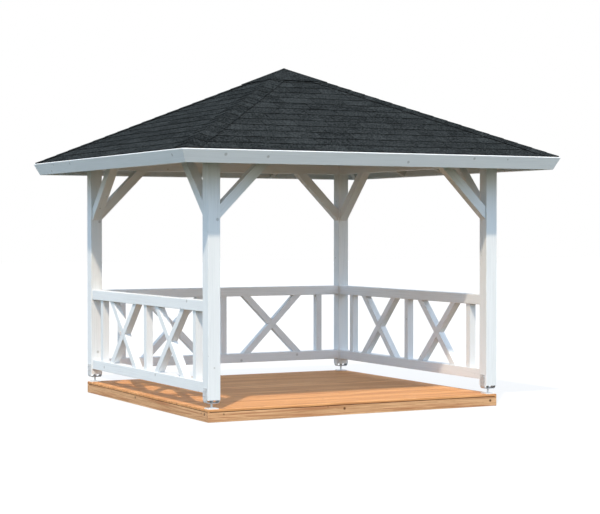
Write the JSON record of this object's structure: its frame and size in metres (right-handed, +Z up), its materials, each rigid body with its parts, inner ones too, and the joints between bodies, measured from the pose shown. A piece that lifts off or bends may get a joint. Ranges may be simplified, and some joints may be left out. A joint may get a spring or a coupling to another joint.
{
  "type": "garden gazebo",
  "caption": "Open square garden gazebo: timber deck, posts on steel shoes, knee braces, railings with crossed bars on the left, back and right, an open front and a shingled pyramid roof.",
  "frame": {"origin": "centre of the deck's underside, on the ground", "axes": "+Z up, -Y out of the open front entrance, +X to the right of someone facing the entrance from outside"},
  "size_m": [3.855, 3.855, 3.2613],
  "materials": {
    "painted_timber": "pale grey-white opaque satin paint, grain just showing",
    "larch": "oiled larch, warm orange-brown",
    "shingle": "bitumen shingle with dark grey mineral granules",
    "galvanised_steel": "galvanised"
  },
  "bodies": {
    "root": {"front_left_post": "painted_timber", "front_right_post": "painted_timber", "back_right_post": "painted_timber", "back_left_post": "painted_timber", "post_brackets": "galvanised_steel", "post_feet": "galvanised_steel", "front_eave_beam": "painted_timber", "right_eave_beam": "painted_timber", "back_eave_beam": "painted_timber", "left_eave_beam": "painted_timber", "front_braces": "painted_timber", "right_braces": "painted_timber", "back_braces": "painted_timber", "left_braces": "painted_timber", "left_railing_rails": "painted_timber", "left_railing_uprights": "painted_timber", "left_railing_cross_bars": "painted_timber", "back_railing_rails": "painted_timber", "back_railing_uprights": "painted_timber", "back_railing_cross_bars": "painted_timber", "right_railing_rails": "painted_timber", "right_railing_uprights": "painted_timber", "right_railing_cross_bars": "painted_timber", "deck_floor": "larch", "front_deck_rim": "larch", "right_deck_rim": "larch", "back_deck_rim": "larch", "left_deck_rim": "larch", "deck_joists": "larch", "hip_rafters": "painted_timber", "king_block": "painted_timber", "rafters": "painted_timber", "front_roof_boards": "painted_timber", "right_roof_boards": "painted_timber", "back_roof_boards": "painted_timber", "left_roof_boards": "painted_timber", "front_shingles": "shingle", "right_shingles": "shingle", "back_shingles": "shingle", "left_shingles": "shingle", "front_fascia": "painted_timber", "right_fascia": "painted_timber", "back_fascia": "painted_timber", "left_fascia": "painted_timber", "hip_caps": "shingle", "apex_cap": "shingle"}
  },
  "joints": []
}
